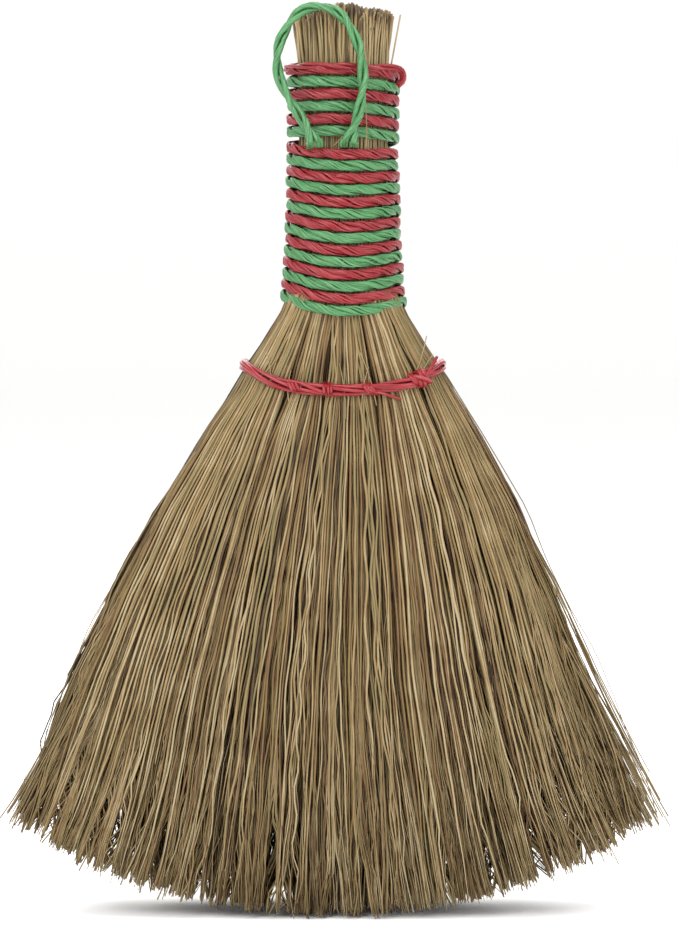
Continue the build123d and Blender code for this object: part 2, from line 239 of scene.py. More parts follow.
class BroomColours(bpy.types.PropertyGroup):
    pale_straw: colour("Pale straw", "Lightest broomcorn fibres", "A0906F")
    straw: colour("Straw", "Common broomcorn fibres", "88704A")
    grey_green: colour("Grey green", "Broomcorn fibres cut before they were ripe", "7A6E4B")
    olive: colour("Olive", "Greenish broomcorn fibres", "756139")
    russet: colour("Russet", "Reddish broomcorn fibres", "705536")
    umber: colour("Umber", "Brown broomcorn fibres", "554127")
    shade: colour("Shade", "Darkest broomcorn fibres", "25190E")
    stalk: colour("Stalk", "Bound and cut stalks", "A99A70")
    pith: colour("Pith", "Cut ends of the stalks", "4A3A22")
    red: colour("Red raffia", "Red cord and twine", "8E1922")
    green: colour("Green raffia", "Green cord and loop", "4B8652")
    paper: colour("Paper", "Background paper", "FCFCFB")


def smooth_through(values, per_step):
    """A smooth line through evenly spaced values or points, with per_step samples to each step."""
    values = np.asarray(values, float)
    padded = np.concatenate([[2 * values[0] - values[1]], values, [2 * values[-1] - values[-2]]])
    t = np.linspace(0, len(values) - 1, (len(values) - 1) * per_step + 1)
    step = np.minimum(t.astype(int), len(values) - 2)
    u = (t - step).reshape(-1, *[1] * (values.ndim - 1))
    before, start, end, after = (padded[step + k] for k in range(4))
    bend = 2 * before - 5 * start + 4 * end - after
    twist = 3 * (start - end) + after - before
    return 0.5 * (2 * start + (end - before) * u + bend * u**2 + twist * u**3)


def drift(rng, count, waves, strength):
    """A slow random wander along count samples, with about that many waves."""
    t = np.linspace(0, 1, count)
    total = np.zeros(count)
    for k in range(1, 5):
        total += np.sin(2 * pi * (waves * k / 2.5 * t + rng.random())) / k
    return strength * total / 1.5


def resampled(points, step):
    """The same line with points a fixed distance apart."""
    runs = np.linalg.norm(np.diff(points, axis=0), axis=1)
    place = np.concatenate([[0], np.cumsum(runs)])
    wanted = np.linspace(0, place[-1], max(int(place[-1] / step), 4))
    return np.stack([np.interp(wanted, place, points[:, k]) for k in range(3)], axis=1), wanted


def frames_along(paths, towards):
    """Directions across each path, as near as they can be to one given direction or to one for each point."""
    along = np.gradient(paths, axis=1)
    along /= np.linalg.norm(along, axis=2, keepdims=True) + 1e-12
    across = np.broadcast_to(np.asarray(towards, float), along.shape).copy()
    carried = across[:, 0].copy()
    for i in range(paths.shape[1]):
        side = carried if np.ndim(towards) == 1 else across[:, i]
        side = side - along[:, i] * np.sum(side * along[:, i], axis=1, keepdims=True)
        carried = side / (np.linalg.norm(side, axis=1, keepdims=True) + 1e-12)
        across[:, i] = carried
    return across, np.cross(along, across)


def strand_mesh(name, paths, radii, sides, tone, towards=(0, -1, 0), flat=1.0):
    """One mesh of many closed strands. paths is strands by points by xyz and radii strands by points, in mm.
    A flat strand is that many times thinner towards its given direction and wider across it.
    Each point of it keeps its strand's tone, its place along the strand and its place round it."""
    paths = np.asarray(paths, float)
    count, points = paths.shape[:2]
    across, round_about = frames_along(paths, towards)
    angle = np.arange(sides) * 2 * pi / sides
    ring = across[:, :, None] * np.cos(angle)[:, None] * flat
    ring += round_about[:, :, None] * np.sin(angle)[:, None] / flat
    places = paths[:, :, None] + ring * np.asarray(radii, float)[:, :, None, None]

    index = np.arange(count * points * sides).reshape(count, points, sides)
    beside = np.roll(index, -1, axis=2)
    walls = np.stack([index[:, :-1], beside[:, :-1], beside[:, 1:], index[:, 1:]], axis=-1).reshape(-1)
    caps = np.concatenate([index[:, 0, ::-1], index[:, -1]]).reshape(-1)
    wall_starts = np.arange(0, len(walls), 4)
    cap_starts = len(walls) + np.arange(0, len(caps), sides)

    mesh = bpy.data.meshes.new(name)
    mesh.vertices.add(index.size)
    mesh.vertices.foreach_set("co", (places * MM).astype(np.float32).ravel())
    mesh.loops.add(len(walls) + len(caps))
    mesh.loops.foreach_set("vertex_index", np.concatenate([walls, caps]).astype(np.int32))
    mesh.polygons.add(len(wall_starts) + len(cap_starts))
    mesh.polygons.foreach_set("loop_start", np.concatenate([wall_starts, cap_starts]).astype(np.int32))
    mesh.update(calc_edges=True)
    mesh.shade_smooth()

    runs = np.cumsum(np.linalg.norm(np.diff(paths, axis=1, prepend=paths[:, :1]), axis=2), axis=1)
    values = {
        "strand_tone": np.broadcast_to(np.asarray(tone, float).reshape(count, -1, 1), places.shape[:3]),
        "strand_run": np.broadcast_to(runs[:, :, None], places.shape[:3]),
        # strand_turn is 1 on the side that faces the given direction, where the broomcorn shader paints a
        # highlight, and falls towards the far sides, which it paints in shade
        "strand_turn": np.broadcast_to(np.abs(angle / pi - 1), places.shape[:3]),
    }
    for key, value in values.items():
        mesh.attributes.new(key, "FLOAT", "POINT").data.foreach_set("value", value.astype(np.float32).ravel())
    return mesh


def piece(mesh, body, material, slot, *nodes):
    """Puts a finished mesh in the scene as a piece of the broom, standing for those solid nodes."""
    made = bpy.data.objects.new(mesh.name, mesh)
    bpy.context.scene.collection.objects.link(made)
    mesh.materials.append(material)
    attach(made, body)
    if nodes:
        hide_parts(*nodes)
    return made


def connect(tree, node, inputs):
    """Gives a node's inputs their links or values."""
    for key, value in inputs.items():
        if isinstance(value, bpy.types.NodeSocket):
            tree.links.new(value, node.inputs[key])
        else:
            node.inputs[key].default_value = value


def add_node(tree, kind, settings=None, inputs=None, stops=()):
    """Adds a shader node with its settings, its links or values, and a ramp's stops."""
    node = tree.nodes.new(f"ShaderNode{kind}")
    for key, value in (settings or {}).items():
        setattr(node, key, value)
    connect(tree, node, inputs or {})
    for i, (place, tint) in enumerate(stops):
        stop = node.color_ramp.elements[i] if i < 2 else node.color_ramp.elements.new(place)
        stop.position, stop.color = place, (*tint, 1)
    return node


def new_material(name):
    """An empty node material and its shader."""
    material = bpy.data.materials.new(name)
    material.use_nodes = True
    tree = material.node_tree
    return material, tree, next(node for node in tree.nodes if node.type == "BSDF_PRINCIPLED")


def per_mm(spacing):
    """Scale of a pattern, on coordinates in metres, for details that many millimetres apart."""
    return 1 / (spacing * MM)


def dried_broomcorn(name, colours):
    """Dried broomcorn seed branches: straw, olive and brown, dull, with a fine grain and a faint sheen."""
    material, tree, shader = new_material(name)
    place = add_node(tree, "TexCoord").outputs["Object"]
    tone = add_node(tree, "Attribute", {"attribute_name": "strand_tone"}).outputs["Fac"]
    turn = add_node(tree, "Attribute", {"attribute_name": "strand_turn"}).outputs["Fac"]
    height = add_node(tree, "SeparateXYZ", inputs={"Vector": place}).outputs["Z"]
    blotches = {"Vector": place, "Scale": per_mm(14), "Detail": 3.0, "Roughness": 0.6}
    blotch = add_node(tree, "TexNoise", inputs=blotches).outputs["Fac"]
    changes = (
        # A branch weathers in blotches about a finger's width long
        (blotch, 0.3, 0.7, -0.14, 0.14),
        # Lighter towards the open tips, and a little darker higher up the stems
        (height, 20 * MM, 150 * MM, 0.12, -0.02),
        # Each strand gets a painted highlight along the ridge that faces out, and painted shade along its
        # sides where it meets the next
        (turn, 0.33, 1.0, -0.14, 0.07),
    )
    for value, low, high, least, most in changes:
        scale = {"Value": value, "From Min": low, "From Max": high, "To Min": least, "To Max": most}
        change = add_node(tree, "MapRange", inputs=scale).outputs["Result"]
        tone = add_node(tree, "Math", {"operation": "ADD"}, {0: tone, 1: change}).outputs["Value"]
    tint = add_node(
        tree,
        "ValToRGB",
        inputs={"Fac": tone},
        stops=(
            (0.0, colours.shade),
            (1.0, colours.pale_straw),
            (0.2, colours.umber),
            (0.36, colours.russet),
            (0.5, colours.olive),
            (0.64, colours.grey_green),
            (0.8, colours.straw),
        ),
    )
    # The bark's grain is a tenth of a millimetre, drawn at a third to show in the picture
    grain = add_node(tree, "TexNoise", inputs={"Vector": place, "Scale": per_mm(0.35), "Detail": 2.0})
    relief = {"Height": grain.outputs["Fac"], "Strength": 0.25, "Distance": 0.1 * MM}
    finish = {
        "Base Color": tint.outputs["Color"],
        "Normal": add_node(tree, "Bump", inputs=relief).outputs["Normal"],
        "Roughness": 0.62,
        "IOR": 1.5,
        "Specular IOR Level": 0.35,
    }
    connect(tree, shader, finish)
    return material


def cut_stalk(name, colours):
    """Bound broomcorn stalks: smooth pale straw rind, with lengthwise veins and brown cut ends."""
    material, tree, shader = new_material(name)
    place = add_node(tree, "TexCoord").outputs["Object"]
    tone = add_node(tree, "Attribute", {"attribute_name": "strand_tone"}).outputs["Fac"]
    # Veins are half a millimetre apart and run the length of the stalk
    lengthwise = add_node(tree, "Mapping", inputs={"Vector": place, "Scale": (1.0, 1.0, 0.04)})
    veins = {"Vector": lengthwise.outputs["Vector"], "Scale": per_mm(0.5), "Detail": 3.0, "Roughness": 0.6}
    vein = add_node(tree, "TexNoise", inputs=veins).outputs["Fac"]
    scale = {"Value": vein, "From Min": 0.3, "From Max": 0.7, "To Min": -0.25, "To Max": 0.2}
    change = add_node(tree, "MapRange", inputs=scale).outputs["Result"]
    tone = add_node(tree, "Math", {"operation": "ADD"}, {0: tone, 1: change}).outputs["Value"]
    tint = add_node(
        tree,
        "ValToRGB",
        inputs={"Fac": tone},
        stops=((0.0, colours.pith), (1.0, colours.stalk), (0.4, colours.straw)),
    )
    relief = {"Height": vein, "Strength": 0.35, "Distance": 0.15 * MM}
    finish = {
        "Base Color": tint.outputs["Color"],
        "Normal": add_node(tree, "Bump", inputs=relief).outputs["Normal"],
        "Roughness": 0.5,
        "IOR": 1.5,
    }
    connect(tree, shader, finish)
    return material


def raffia(name, tint):
    """Polypropylene raffia: thin glossy film split and crumpled lengthwise, painted pale on its ridges as
    highlight and dark in its creases as shade.
    """
    material, tree, shader = new_material(name)
    # The creases follow each strand: round it, along it, and from one strand to the next
    follow = {
        axis: add_node(tree, "Attribute", {"attribute_name": key}).outputs["Fac"]
        for axis, key in (("X", "strand_turn"), ("Y", "strand_run"), ("Z", "strand_tone"))
    }
    place = add_node(tree, "CombineXYZ", inputs=follow).outputs["Vector"]
    # They lie about a third of a millimetre apart and are a centimetre long
    spread = add_node(tree, "Mapping", inputs={"Vector": place, "Scale": (5.0, 0.12, 40.0)}).outputs["Vector"]
    crease = add_node(tree, "TexNoise", inputs={"Vector": spread, "Scale": 1.0, "Detail": 3.0}).outputs["Fac"]
    # The crease pattern also paints the colour: darker in the creases as painted shade, paler on the ridges
    # as painted highlight
    dark = tuple(channel * 0.45 for channel in tint)
    pale = tuple(channel + (1 - channel) * 0.1 for channel in tint)
    ramp = add_node(tree, "ValToRGB", inputs={"Fac": crease}, stops=((0.25, dark), (0.8, pale), (0.5, tint)))
    relief = {"Height": crease, "Strength": 0.6, "Distance": 0.25 * MM}
    finish = {
        "Base Color": ramp.outputs["Color"],
        "Normal": add_node(tree, "Bump", inputs=relief).outputs["Normal"],
        "Roughness": 0.3,
        "IOR": 1.49,
        "Specular IOR Level": 0.42,
    }
    connect(tree, shader, finish)
    return material


def background_paper(name, colours):
    """Seamless background paper: matt, with a faint mottle."""
    material, tree, shader = new_material(name)
    place = add_node(tree, "TexCoord").outputs["Object"]
    mottle = add_node(tree, "TexNoise", inputs={"Vector": place, "Scale": per_mm(3), "Detail": 2.0})
    darker = tuple(channel * 0.985 for channel in colours.paper)
    stops = ((0.3, darker), (0.7, colours.paper))
    tint = add_node(tree, "ValToRGB", inputs={"Fac": mottle.outputs["Fac"]}, stops=stops)
    connect(tree, shader, {"Base Color": tint.outputs["Color"], "Roughness": 0.9})
    return material


def material_called(name, make, colours):
    """The material of that name, made the first time that it is asked for."""
    return bpy.data.materials.get(name) or make(name, colours)


def raffia_called(name, colours):
    """The raffia of that colour's name."""
    return material_called(f"{name}_polypropylene_raffia", raffia, tuple(getattr(colours, name)))


def fan_place(share, depth, heights):
    """Places in the fan at shares of its width and depth, from -1 to 1. The stitches pull grooves into it."""
    share, depth, heights = np.broadcast_arrays(share, depth, heights)
    half = np.interp(heights, FAN_HEIGHTS, FAN_HALF_WIDTHS)
    through = np.interp(heights, FAN_HEIGHTS, FAN_HALF_DEPTHS)
    outer = np.clip((np.abs(depth) - PARTING_DEPTH) / 0.2, 0, 1)
    # Each strand gives way by its own amount
    own = 0.7 + 0.3 * np.sin(900 * share)
    parting = np.interp(heights, PARTING_HEIGHTS, PARTING_WIDTHS) * outer * own
    lean = np.interp(heights, (LEAN_HEIGHT, BAND_HEIGHT), (-FAN_LEAN, 0))
    x = share * half
    for low, high in BUNCHES:
        inside = (share >= low) & (share < high)
        middle, span = (low + high) / 2 * half, (high - low) * half
        x = np.where(inside, middle + (x - middle) * (1 - parting / span), x)
    rounded = np.clip(1 - share**2, 0, 1) ** 0.25
    return np.stack([x + lean, depth * through * rounded, heights], axis=-1)


def tip_height(x):
    """Height of the round cut that the tips are trimmed to."""
    widest = TIP_ARC_RADIUS * 0.9
    across = np.clip(x - TIP_ARC_CENTRE[0], -widest, widest)
    return TIP_ARC_CENTRE[1] - np.sqrt(TIP_ARC_RADIUS**2 - across**2)


class Sway:
    """Slow bends of stems, in mm across and through the fan at each height. A stem's fibres share them."""

    def __init__(self, rng, count):
        self.waves = np.array(SWAY_WAVES) * rng.uniform(0.7, 1.3, (2, count, 3))
        self.phases = rng.uniform(0, 2 * pi, (2, count, 3))
        self.sizes = np.array(SWAY_SIZES) * rng.uniform(0.4, 1.5, (2, count, 3))

    def at(self, heights, stems):
        """Each stem's bends at its heights. There are none from the sewn band up."""
        fall = np.clip((BAND_HEIGHT - heights) / BAND_HEIGHT, 0, 1)
        turn = 2 * pi * (1 - heights / NECK_HEIGHT)[None, :, :, None] * self.waves[:, stems, None]
        bends = np.sum(self.sizes[:, stems, None] * np.sin(turn + self.phases[:, stems, None]), axis=3)
        return np.moveaxis(bends, 0, -1) * (fall**0.8)[..., None] * (1.0, 0.8)


def strands_down_the_fan(share, depth, top, end, points, sway, stems):
    """Paths from their heights in the fan down to their ends, along the stems that they grow from."""
    t = np.linspace(0, 1, points)[None, :]
    heights = top[:, None] + (end - top)[:, None] * t
    paths = fan_place(share[:, None], depth[:, None], heights)
    paths[..., :2] += sway.at(heights, stems)
    return paths


def open_gaps(paths):
    """Pushes strands aside at a few places across the tips, so that thin gaps open between locks."""
    rng = np.random.default_rng(GAP_SEED)
    heights = paths[..., 2]
    for gap in range(GAPS):
        share = rng.uniform(-0.99, -0.1) if gap % 3 else rng.uniform(0.2, 0.98)
        width, rise = rng.uniform(*GAP_WIDTHS), rng.uniform(*GAP_RISES)
        middle = fan_place(share, 0.0, heights)[..., 0] + 1.2 * np.sin(heights / 9 + gap)
        off = paths[..., 0] - middle
        fade = np.clip(1 - (heights - tip_height(middle) - rise / 3) / rise, 0, 1)
        paths[..., 0] += np.sign(off) * width / 2 * fade * np.exp(-np.abs(off) / 4)
    return paths


def held_inside(paths, tuck):
    """Keeps strands inside the fan and, above its open tuft, that much deeper than its face."""
    heights = paths[..., 2]
    half = np.interp(heights, FAN_HEIGHTS, FAN_HALF_WIDTHS)
    share = np.clip(np.abs(paths[..., 0]) / half, 0, 0.98)
    reach = np.interp(heights, FAN_HEIGHTS, FAN_HALF_DEPTHS) * (1 - share**2) ** 0.25
    reach = np.maximum(reach - tuck * np.clip((heights - TUFT_HEIGHT) / 60, 0, 1), 0.3)
    paths[..., 1] = np.clip(paths[..., 1], -reach, reach)
    return paths


def tones_with_painted_shade(tones, share, heights):
    """Tones of strands behind the outer stems, darkened as painted shade. At the fan's edges they are painted
    a little lighter instead, and the tuft keeps its tones.
    """
    covered = np.clip((heights - TUFT_HEIGHT) / 70, 0, 1)
    inside = np.clip((0.92 - np.abs(share)) / 0.08, -0.5, 1)[:, None]
    return np.clip(tones[:, None] - 0.2 * covered * inside, 0.03, 1)


def tuft_ends(rng, share, count):
    """Heights at which strands end. Most reach the round cut, and some are short."""
    x = share * np.interp(32.0, FAN_HEIGHTS, FAN_HALF_WIDTHS)
    short = np.where(rng.random(count) < 0.12, rng.exponential(16, count), 0)
    return tip_height(x) + short + np.abs(rng.normal(0, 1.4, count))


def broomcorn_tones(rng, share, depth):
    """Tones of strands, from brown to pale straw. Most are pale, and those deeper inside the fan are darker,
    as painted shade.
    """
    slow = 0.06 * np.sin(9 * share + 0.6) + 0.05 * np.sin(23 * share + 2.0) + 0.04 * np.sin(51 * share + 1.0)
    # Painted shade: strands deeper inside the fan are darker
    inside = 0.5 * np.clip(1 - np.abs(depth), 0, 0.7) ** 0.8
    own = np.where(rng.random(len(share)) < 0.36, 0.22, 0.76) + rng.normal(0, 0.11, len(share))
    return np.clip(own + slow - inside, 0.04, 0.98)


def outer_stems(rng, low, high, sizes):
    """Stems that lie side by side on both faces of a bunch: their paths, radii, tones and ways out."""
    across = round(sizes.outer_stems * (high - low) / 2)
    count = 2 * across
    order = np.arange(count)
    face = np.repeat((-1.0, 1.0), across)
    place = np.tile(np.arange(across), 2) + 0.5 + rng.uniform(-0.4, 0.4, count)
    share = low + (high - low) * place / across
    # They bend less than the stems inside, and hardly at all through the fan
    sway = Sway(rng, count)
    sway.sizes *= np.array([0.55, 0.15])[:, None, None]
    top = np.full(count, FAN_TOP)
    end = tuft_ends(rng, share, count) + rng.exponential(10, count)
    paths = strands_down_the_fan(share, face, top, end, OUTER_STEM_POINTS, sway, order)
    # Every other one lies a little deeper
    paths[..., 1] += (face * np.where(order % 2, 0.2, -0.4))[:, None]
    crimp = np.minimum(rng.exponential(0.22, (count, 1)), 0.7)
    waves = paths[..., 2] / rng.uniform(20, 45, (count, 1)) + rng.random((count, 1))
    paths[..., 0] += crimp * np.sin(2 * pi * waves)
    paths = open_gaps(paths)
    swell = np.interp(paths[..., 2], (0, TUFT_HEIGHT, 130, FAN_TOP), (0.6, 0.8, 1.1, 1.0))
    taper = np.interp(np.arange(OUTER_STEM_POINTS), (37, 43), (1, 0.4))
    radii = sizes.stem_width / MM / 2 * rng.uniform(0.65, 1.2, (count, 1)) * (swell * taper)
    tones = np.where(rng.random(count) < 0.34, 0.34, 0.78) + rng.normal(0, 0.1, count)
    # At the fan's edges the stems face sideways, and so does the painted highlight on their ridges
    ways_out = np.stack([1.5 * share**3, face, np.zeros(count)], axis=1)[:, None]
    return paths, radii, np.clip(tones, 0.1, 1), ways_out


class BROOM_OT_fibres(bpy.types.Operator):
    """Five bunches of stems, each with its own tuft of fibres, that fan out of the neck to a round cut"""

    bl_idname = "broom.fibres"
    bl_label = "Broomcorn Fibres"

    def execute(self, context):
        sizes, colours = context.scene.broom_sizes, context.scene.broom_colours
        material = material_called("dried_broomcorn_fibre", dried_broomcorn, colours)
        stem_radius, fibre_radius = sizes.stem_width / MM / 2, sizes.fibre_width / MM / 2
        for number, (low, high) in enumerate(BUNCHES, 1):
            bunch = f"bunch_{number}"
            rng = np.random.default_rng(STEM_SEED + number)
            stems = round(sizes.stems * (high - low) / 2)
            share = rng.uniform(low + 0.004, high - 0.004, stems)
            depth = rng.uniform(-1, 1, stems)
            depth = np.sign(depth) * np.abs(depth) ** 0.7
            # A few stand deep inside each parting, so that no light comes through
            sides = np.where(np.arange(PARTING_STEMS) % 2, low + 0.006, high - 0.006)
            share[:PARTING_STEMS] = sides + rng.normal(0, 0.004, PARTING_STEMS)
            share = np.clip(share, low + 0.001, high - 0.001)
            depth[:PARTING_STEMS] = rng.uniform(-0.4, 0.4, PARTING_STEMS)
            tone = broomcorn_tones(rng, share, depth)
            sway = Sway(rng, stems)
            sway.sizes[0, np.abs(share) > EDGE_SHARE] *= 2.0
            ends = tuft_ends(rng, share, stems)

            top = np.full(stems, FAN_TOP)
            stem_end = ends + rng.uniform(5, 90, stems)
            paths = strands_down_the_fan(share, depth, top, stem_end, STEM_POINTS, sway, np.arange(stems))
            paths = held_inside(open_gaps(paths), TUCK)
            taper = np.linspace(1, 0.3, STEM_POINTS)[None, :]
            radii = stem_radius * rng.uniform(0.7, 1.15, (stems, 1)) * taper
            # Each stem's painted ridge highlight faces out of the fan, to the front or the back
            outward = np.sign(depth)[:, None, None] * np.array([0.0, 1.0, 0.0])
            deep = tones_with_painted_shade(tone, share, paths[..., 2])
            mesh = strand_mesh(f"{bunch}_stems", paths, radii, 5, deep, outward)
            piece(mesh, BROOM, material, "bristles", f"{bunch}_brush")
            outer = outer_stems(np.random.default_rng(OUTER_STEM_SEED + number), low, high, sizes)
            paths, radii, tones, outward = outer
            mesh = strand_mesh(f"{bunch}_outer_stems", paths, radii, 5, tones, outward)
            piece(mesh, BROOM, material, "bristles")

            parent = np.repeat(np.arange(stems), sizes.fibres_per_stem)
            count = len(parent)
            top = FAN_TOP - rng.uniform(0, 1, count) ** 0.9 * BRANCHING
            aside = rng.normal(0, 1, (count, 2))
            beside = aside / np.linalg.norm(aside, axis=1, keepdims=True) * (stem_radius + 0.15)
            astray = np.where(rng.random(count) < STRAY_SHARE, 2.8, 1.0)
            end = ends[parent] + 0.5 * (aside**2).sum(axis=1) + rng.normal(0, 0.8, count)
            end += np.where(rng.random(count) < SHORT_SHARE, rng.exponential(20, count), 0)
            crossing = np.where(rng.random(count) < CROSSING_SHARE, rng.normal(0, 6, count), 0)
            tones = 0.25 * tone[parent] + 0.75 * broomcorn_tones(rng, share[parent], depth[parent])
            place = depth[parent] + aside[:, 1] * 0.05
            edge = np.abs(share[parent]) > EDGE_SHARE
            # Each group's fibres have their painted ridge highlight on the side that faces the way given last
            groups = (
                ("front", (place < -FACE_SHARE) | (edge & (place < 0)), FIBRE_POINTS, (0, -1, 0)),
                ("back", (place > FACE_SHARE) | (edge & (place >= 0)), FIBRE_POINTS, (0, 1, 0)),
                ("inner", (np.abs(place) <= FACE_SHARE) & ~edge, INNER_FIBRE_POINTS, (0, -1, 0)),
            )
            for name, chosen, points, outward in groups:
                stem = parent[chosen]
                top_of, end_of = top[chosen], end[chosen]
                paths = strands_down_the_fan(share[stem], depth[stem], top_of, end_of, points, sway, stem)
                t = np.linspace(0, 1, points)[None, :]
                spread = 1.25 * t**1.5 * (top_of / FAN_TOP)[:, None] * astray[chosen][:, None]
                wander = beside[chosen, :1] + aside[chosen, :1] * spread
                paths[..., 0] += wander + crossing[chosen][:, None] * t
                paths[..., 1] += beside[chosen, 1:] + aside[chosen, 1:] * spread * 0.85
                if points == FIBRE_POINTS:
                    crimp = np.minimum(rng.exponential(0.3, (len(stem), 1)), 0.8) * np.sqrt(t)
                    waves = (top_of - end_of)[:, None] / rng.uniform(9, 26, (len(stem), 1))
                    phase = rng.uniform(0, 2 * pi, (2, len(stem), 1))
                    paths[..., 0] += crimp * np.sin(2 * pi * waves * t + phase[0])
                    paths[..., 1] += crimp * np.sin(2 * pi * waves * t + phase[1])
                # A few thin pale ones cross over the outer stems
                over = (crossing[chosen] != 0)[:, None]
                paths = held_inside(open_gaps(paths), np.where(over, -STAND_OUT, TUCK))
                paths[..., 2] = np.maximum(paths[..., 2], 0.25)
                thick = fibre_radius * rng.uniform(0.6, 1.3, (len(stem), 1)) * np.where(over, 0.6, 1)
                radii = thick * np.interp(t, (0, 0.08, 1), (0.35, 1, 0.6))
                deep = np.where(over, 0.85, tones_with_painted_shade(tones[chosen], share[stem], paths[..., 2]))
                mesh = strand_mesh(f"{bunch}_{name}_fibres", paths, radii, 3, deep, outward)
                piece(mesh, BROOM, material, "bristles")
        return {"FINISHED"}


class BROOM_OT_wisps(bpy.types.Operator):
    """Stray fibres outside the fan, over the sewn band, at the loop's roots and beside the cut stalks"""

    bl_idname = "broom.wisps"
    bl_label = "Stray Wisps"

    def execute(self, context):
        colours = context.scene.broom_colours
        material = material_called("dried_broomcorn_fibre", dried_broomcorn, colours)
        rng = np.random.default_rng(WISP_SEED)
        # Thin locks run down outside the fan's edges, and each bends away from the edge on its way
        lock = np.repeat(np.arange(len(OUTER_LOCKS)), [strands for *_, strands in OUTER_LOCKS])
        side, away, top, _ = np.array(OUTER_LOCKS).T[:, lock]
        count = len(lock)
        share = side * rng.uniform(0.96, 1.0, count)
        end = tuft_ends(rng, share, count) + rng.exponential(5, count)
        top = top + rng.normal(0, 7, count)
        sway = Sway(rng, len(OUTER_LOCKS))
        depth = rng.uniform(-0.5, 0.5, count)
        paths = strands_down_the_fan(share, depth, top, end, LOCK_POINTS, sway, lock)
        t = np.linspace(0, 1, LOCK_POINTS)[None, :]
        gather = side * np.interp(end, FAN_HEIGHTS, FAN_HALF_WIDTHS) * (1 - np.abs(share))
        paths[..., 0] += (side * away + gather)[:, None] * t**1.3 + rng.normal(0, 0.8, (count, 1)) * t
        radii = np.linspace(0.42, 0.26, LOCK_POINTS)[None, :] * rng.uniform(0.7, 1.2, (count, 1))
        mesh = strand_mesh("outer_locks", paths, radii, 3, rng.uniform(0.35, 0.8, count))
        piece(mesh, BROOM, material, "bristles")

        # Pale fibres that cross over the sewn band
        t = np.linspace(0, 1, CROSSING_POINTS)
        lines = []
        for x1, z1, x2, z2, bow in BAND_CROSSINGS:
            x = x1 + (x2 - x1) * t + bow * np.sin(pi * t)
            z = z1 + (z2 - z1) * t
            off_band = 2.2 * np.exp(-(((z - band_height(x)) / 3.6) ** 2))
            fan_face = -BAND_HALF_DEPTH * np.clip(1 - (x / BAND_HALF_WIDTH) ** 2, 0.03, 1) ** 0.25 + 1.9
            lines.append(np.stack([x, fan_face - off_band - 0.2, z], axis=1))
        # By the loop's right root, from the gap in the winding up over the upper rows
        x = 8.6 + 0.25 * np.sin(5 * t)
        lines.append(np.stack([x, -19.9 + 0.5 * np.cos(4 * t), 289.5 + 19.5 * t], axis=1))
        lines.append(np.stack([-3.4 + 3.4 * t, -18.4 - 1.2 * t, 290.2 + 3.6 * t], axis=1))
        # Leaning out of the cut stalks on the right
        lines.append(np.stack([18.2 + 3.4 * t, -7 - 1.5 * t, 321.0 + 18.5 * t], axis=1))
        radii = np.full((len(lines), CROSSING_POINTS), 0.19)
        radii[-1] = 0.3
        mesh = strand_mesh("crossing_fibres", np.array(lines), radii, 4, np.full(len(lines), 0.92))
        piece(mesh, BROOM, material, "bristles")
        return {"FINISHED"}


def grip_half_width(heights):
    """Half the width of the bound bundle at heights in the handle."""
    return np.interp(heights, GRIP_HEIGHTS, GRIP_HALF_WIDTHS)


class BROOM_OT_stalks(bpy.types.Operator):
    """The bound stalks of the five bunches, from the neck up to their cut ends on top"""

    bl_idname = "broom.stalks"
    bl_label = "Bound Stalks"

    def execute(self, context):
        sizes, colours = context.scene.broom_sizes, context.scene.broom_colours
        material = material_called("bound_broomcorn_stalk", cut_stalk, colours)
        rng = np.random.default_rng(STALK_SEED)
        pitch = sizes.stalk_width / MM * 0.96
        # They are packed like the cells of a honeycomb, in rows over a square that is wider than the bundle
        row_pitch = pitch * 0.866
        span, bundle = 40, 18.0
        rows, columns = int(span / row_pitch), int(span / pitch)
        grid = [
            ((i - columns / 2 + 0.5 * (row % 2)) * pitch, (row - rows / 2) * row_pitch)
            for row in range(rows + 1)
            for i in range(columns + 1)
        ]
        places = np.array(grid) / bundle
        places += rng.normal(0, 0.012, places.shape)
        places = places[(places[:, 0] ** 2 + (places[:, 1] / DEPTH_TO_WIDTH) ** 2) < 0.95**2]
        levels = np.array([229.5, 235, 243, 256, 272, 287, 300, 312, 320, 327, 333, 337.5, 339.5, 341.5])
        for number, (low, high) in enumerate(BUNCHES, 1):
            mine = places[(places[:, 0] >= low) & (places[:, 0] < high)]
            count = len(mine)
            # The middle stalks stand a little higher than the outer ones
            cut = rng.uniform(0, 1, (count, 1)) ** 2 * 6.5 - 2.2 * np.exp(-((mine[:, :1] / 0.45) ** 2))
            up = levels[None, :] - cut * np.clip((levels[None, :] - 320) / 21.5, 0, 1)
            half = grip_half_width(up)
            # Above the winding they stand loose
            loose = np.clip((up - 318) / 23, 0, 1) ** 1.3
            x = mine[:, :1] * half + loose * rng.normal(0, 0.95, (count, 1))
            y = mine[:, 1:] * half + loose * rng.normal(0, 0.6, (count, 1))
            x = x + 0.12 * np.sin(up * 0.35 + rng.uniform(0, 6, (count, 1)))
            # The cut ends are split and curled
            x[:, -1] += rng.normal(0, 0.4, count)
            y[:, -1] += rng.normal(0, 0.4, count)
            paths = np.stack([x, y, up], axis=2)
            radii = sizes.stalk_width / MM / 2 * rng.uniform(0.72, 1.08, (count, 1))
            radii = np.repeat(radii, len(levels), axis=1)
            radii[:, -1] *= rng.uniform(0.4, 1.2, count)
            tones = np.where(rng.random((count, 1)) < 0.25, 0.3, 0.72) + rng.normal(0, 0.13, (count, 1))
            # Most of them are brown over their last few millimetres
            browned = np.where(rng.random((count, 1)) < 0.6, 0.75, 0.2) * np.clip((levels - 336) / 3.5, 0, 1)
            tones = np.clip(tones - browned, 0, 1)
            mesh = strand_mesh(f"bunch_{number}_bound_stalks", paths, radii, 6, tones)
            piece(mesh, BROOM, material, "stalk_ends", f"bunch_{number}_stalks")
        return {"FINISHED"}


